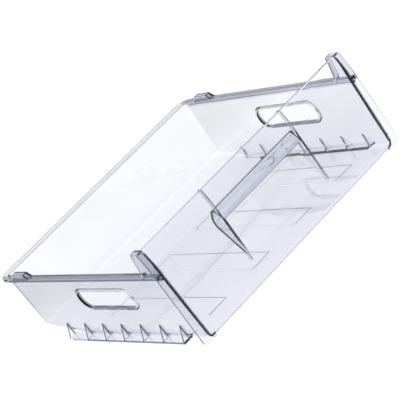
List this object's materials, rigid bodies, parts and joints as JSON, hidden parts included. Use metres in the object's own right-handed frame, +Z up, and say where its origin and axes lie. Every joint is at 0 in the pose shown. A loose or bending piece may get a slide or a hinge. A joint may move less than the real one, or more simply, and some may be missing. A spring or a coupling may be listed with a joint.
{
  "type": "freezer drawer",
  "caption": "Clear moulded freezer drawer: open tub with a tall front, finger pull, side hand slots, flanged rim with stops, and gusseted runner ledges.",
  "frame": {"origin": "under the middle of the drawer's bounding box, on the plane of the floor and runner ledges", "axes": "+X to the right seen from the front, +Y to the back, +Z up; the front panel faces -Y"},
  "size_m": [0.43, 0.4356, 0.155],
  "materials": {
    "clear_plastic": "gloss"
  },
  "bodies": {
    "root": {"drawer": "clear_plastic"}
  },
  "joints": []
}
